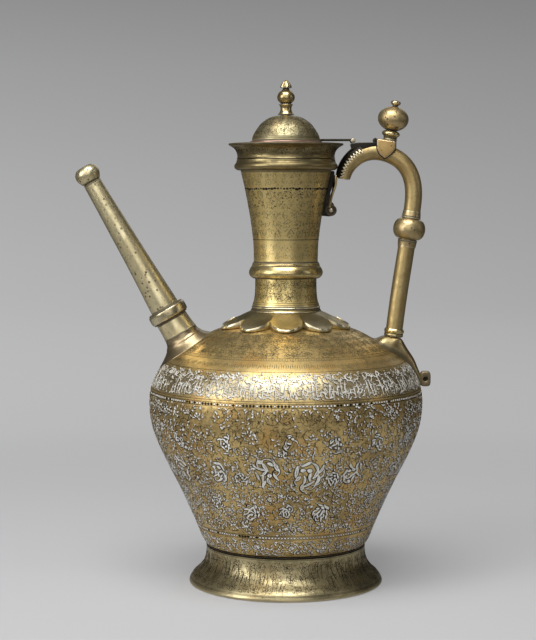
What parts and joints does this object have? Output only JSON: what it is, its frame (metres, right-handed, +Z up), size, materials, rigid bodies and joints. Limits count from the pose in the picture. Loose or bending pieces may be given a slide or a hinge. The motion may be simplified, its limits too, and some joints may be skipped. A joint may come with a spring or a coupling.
{
  "type": "ibrik ewer",
  "caption": "Brass ibrik ewer with silver inlay: swelling body on a flared foot, waisted neck with a lobed collar, straight spout, arched tube handle and a hinged domed lid.",
  "frame": {"origin": "centre of the bounding box in X and Y, on the plane that the foot stands on", "axes": "+Z up along the body's axis, -X towards the spout, +X towards the handle, XZ is the plane of symmetry; the body's axis is 24.33 mm from the origin towards +X"},
  "size_m": [0.2682, 0.2068, 0.38],
  "materials": {
    "inlaid_brass": "aged brown-gold brass with dense silver inlay, rubbed bright on the shoulder",
    "engraved_brass": "aged olive-gold brass, finely engraved, dark in the cuts",
    "plain_brass": "aged brass with a soft sheen",
    "satin_brass": "satin brass worn smooth, small dark pits",
    "pale_brass": "pale brass, rubbed bright on the edges",
    "dark_brass": "nearly black patina with bright worn edges",
    "red_brass": "reddish copper-coloured brass, dull"
  },
  "bodies": {
    "ewer": {"foot_ring": "inlaid_brass", "body_shell": "inlaid_brass", "base_plate": "plain_brass", "neck_collar": "plain_brass", "neck_bead": "satin_brass", "lower_neck": "engraved_brass", "neck_ring": "satin_brass", "neck_tube": "engraved_brass", "rim_bead": "satin_brass", "rim_flare": "engraved_brass", "mouth_plate": "dark_brass", "lid_hinge_pin": "pale_brass", "handle_arch": "satin_brass", "handle_lower_tube": "satin_brass", "handle_knop": "satin_brass", "knop_upper_collar": "satin_brass", "knop_lower_collar": "satin_brass", "handle_foot_ring": "satin_brass", "handle_saddle": "plain_brass", "handle_ferrule": "pale_brass", "finial_ring": "satin_brass", "finial_ball": "satin_brass", "finial_button": "pale_brass", "hinge_bracket": "dark_brass", "handle_strap": "dark_brass", "strap_pin": "pale_brass", "neck_lug": "dark_brass", "spout_ring": "pale_brass", "spout_tube": "satin_brass", "spout_sleeve": "satin_brass", "spout_base": "plain_brass", "spout_tip": "satin_brass"},
    "lid": {"lid_flange": "red_brass", "lid_dome": "engraved_brass", "lid_finial": "plain_brass", "lid_strap": "dark_brass"}
  },
  "joints": [
    {"name": "lid_hinge", "type": "hinge", "parent": "ewer", "child": "lid", "pos_m": [0.07433, 0, 0.3346], "axis": [0, 1, 0], "range_deg": [0, 95]}
  ]
}
